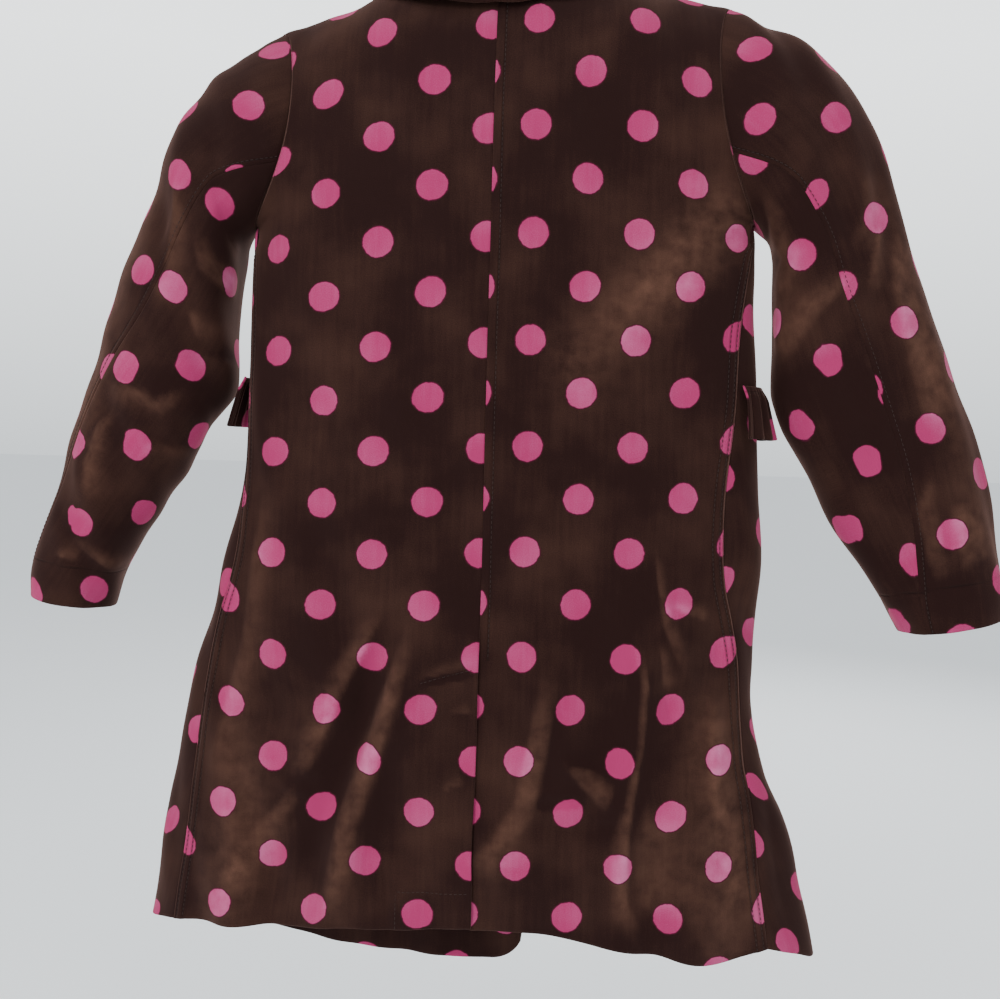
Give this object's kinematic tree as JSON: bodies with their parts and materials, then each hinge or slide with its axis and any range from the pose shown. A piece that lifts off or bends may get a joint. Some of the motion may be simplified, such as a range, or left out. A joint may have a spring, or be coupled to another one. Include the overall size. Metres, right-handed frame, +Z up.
{
  "type": "dress coat on a hanger",
  "caption": "Child's dress coat in dotted velveteen with a turned-down collar, long sleeves, gathered pocket flaps and a back vent, hung on a plain hanger.",
  "frame": {"origin": "the top of the inside of the hanger's hook, where it rests on its rail", "axes": "+Z up, +Y towards the coat's back, -Y towards its buttoned front, +X towards the wearer's left"},
  "size_m": [0.6682, 0.1027, 0.7598],
  "materials": {
    "velveteen": "brown cotton velveteen with pink dots, short napped pile",
    "buttons": "dark brown moulded button, polished",
    "hanger": "pale moulded plastic, satin"
  },
  "bodies": {
    "root": {"back_left": "velveteen", "back_right": "velveteen", "front_left": "velveteen", "front_right": "velveteen", "sleeve_left_upper": "velveteen", "sleeve_left_under": "velveteen", "sleeve_right_upper": "velveteen", "sleeve_right_under": "velveteen", "collar_stand": "velveteen", "collar_fall": "velveteen", "flap_left": "velveteen", "flap_right": "velveteen", "button_1": "buttons", "button_2": "buttons", "button_3": "buttons", "button_4": "buttons", "hanger": "hanger"}
  },
  "joints": []
}
